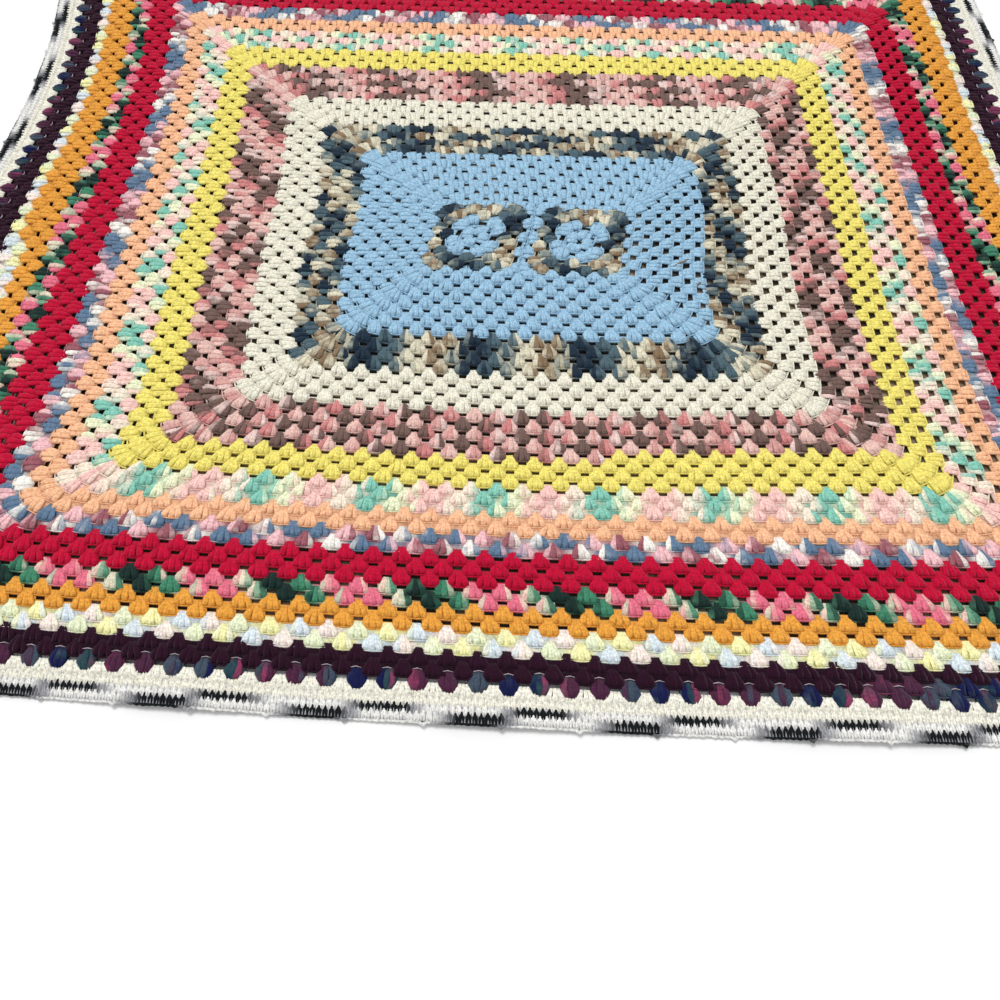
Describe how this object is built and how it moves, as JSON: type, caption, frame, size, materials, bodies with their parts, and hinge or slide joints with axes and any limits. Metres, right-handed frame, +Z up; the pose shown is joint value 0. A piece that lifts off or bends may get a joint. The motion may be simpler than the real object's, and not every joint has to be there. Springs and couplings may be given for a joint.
{
  "type": "crochet afghan",
  "caption": "Granny-stitch crochet afghan lying flat, slightly out of square, with a sewn pair of centre squares, concentric striped rounds and a dense edging.",
  "frame": {"origin": "middle of the underside of the whole afghan's box", "axes": "+X along the long side, +Y across the short side away from the viewer, +Z up out of the face"},
  "size_m": [1.4332, 1.2296, 0.0122],
  "materials": {
    "squares": "matt worsted yarn, blue with one variegated round",
    "rounds": "matt worsted yarn in many plain and variegated rounds",
    "edging": "matt worsted yarn, white then black, grey and white"
  },
  "bodies": {
    "root": {"square_left": "squares", "square_right": "squares", "granny_rounds": "rounds", "edging": "edging"}
  },
  "joints": []
}
